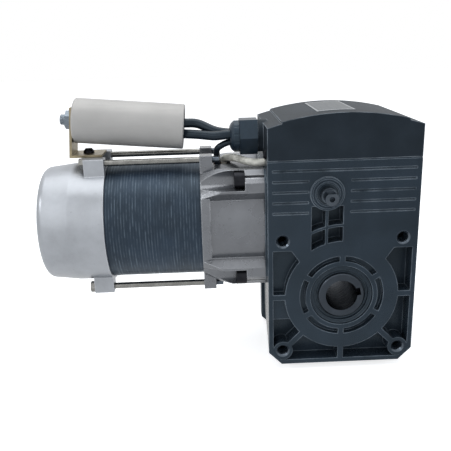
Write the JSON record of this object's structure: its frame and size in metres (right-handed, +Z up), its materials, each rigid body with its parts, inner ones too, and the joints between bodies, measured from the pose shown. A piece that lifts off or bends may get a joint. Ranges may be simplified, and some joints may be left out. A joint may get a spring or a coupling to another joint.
{
  "type": "sectional door operator",
  "caption": "Industrial sectional door operator: worm gearbox with hollow keyed output shaft, flange motor, run capacitor, wiring lid and manual release spindle.",
  "frame": {"origin": "output shaft axis in the plane of the front mounting face", "axes": "+X to the right seen from the front, away from the motor; +Y from the front face into the gearbox along the output shaft; +Z up towards the wiring lid"},
  "size_m": [0.2981, 0.1268, 0.2211],
  "materials": {
    "charcoal_casting": "fine-textured charcoal paint on a die casting",
    "charcoal_lid": "fine-textured charcoal paint",
    "raw_aluminium": "as-cast",
    "laminations": "varnished steel laminations",
    "bright_steel": "turned",
    "dark_steel": "turned and blackened",
    "zinc_steel": "zinc plated",
    "yellow_zinc": "yellow passivated zinc",
    "black_oxide": "black oxide",
    "bronze": "machined",
    "copper": "varnished winding",
    "can_metal": "drawn can, satin",
    "seal_rubber": "matte",
    "gland_plastic": "matte",
    "lead_black": "soft insulation",
    "sleeve_cream": "soft sleeve",
    "terminal_plastic": "matte"
  },
  "bodies": {
    "operator": {"gear_housing": "charcoal_casting", "rear_cover": "charcoal_casting", "lid": "charcoal_lid", "rear_cover_screws": "black_oxide", "lid_gasket": "seal_rubber", "lid_screws": "black_oxide", "output_bearing_outers": "bright_steel", "output_seals": "seal_rubber", "spindle_bush": "bronze", "spindle_seal": "seal_rubber", "motor_bearing_outers": "bright_steel", "worm_shaft_seal": "seal_rubber", "worm_end_plug": "black_oxide", "stator_core": "laminations", "stator_windings": "copper", "motor_adapter": "raw_aluminium", "flange_screws": "black_oxide", "motor_end_cover": "raw_aluminium", "tie_bolts": "zinc_steel", "capacitor": "can_metal", "capacitor_nut": "zinc_steel", "capacitor_bracket": "yellow_zinc", "bracket_screw": "black_oxide", "gland_body": "gland_plastic", "gland_dome_nut": "gland_plastic", "terminal_plate": "zinc_steel", "terminal_block": "terminal_plastic", "capacitor_lead_upper": "lead_black", "capacitor_lead_lower": "lead_black", "motor_lead": "lead_black", "lead_sleeve": "sleeve_cream"},
    "output": {"hollow_shaft": "dark_steel", "feather_keys": "bright_steel", "wheel_circlip": "bright_steel", "spacer_sleeve": "bright_steel", "output_bearing_inners": "bright_steel", "worm_wheel": "bronze"},
    "rotor": {"worm_shaft": "bright_steel", "rotor_core": "laminations", "motor_bearing_inners": "bright_steel"},
    "release": {"release_spindle": "dark_steel"},
    "fork": {"shift_fork": "bright_steel"},
    "claw": {"claw_ring": "bright_steel"}
  },
  "joints": [
    {"name": "output_spin", "type": "hinge", "parent": "operator", "child": "output", "pos_m": [0, 0.052, 0], "axis": [0, 1, 0], "continuous": true},
    {"name": "motor_spin", "type": "hinge", "parent": "operator", "child": "rotor", "pos_m": [0, 0.052, 0.055], "axis": [1, 0, 0], "continuous": true},
    {"name": "release_turn", "type": "hinge", "parent": "operator", "child": "release", "pos_m": [-0.013, 0, 0.0844], "axis": [0, 1, 0], "range_deg": [0, 90]},
    {"name": "fork_shift", "type": "slide", "parent": "operator", "child": "fork", "axis": [0, -1, 0], "range_m": [0, 0.007]},
    {"name": "claw_shift", "type": "slide", "parent": "output", "child": "claw", "axis": [0, -1, 0], "range_m": [0, 0.007]}
  ],
  "couplings": [
    {"joint": "motor_spin", "follows": "output_spin", "ratio": -43},
    {"joint": "fork_shift", "follows": "claw_shift", "ratio": 1},
    {"joint": "release_turn", "follows": "claw_shift", "rad_per_m": 224.38}
  ]
}
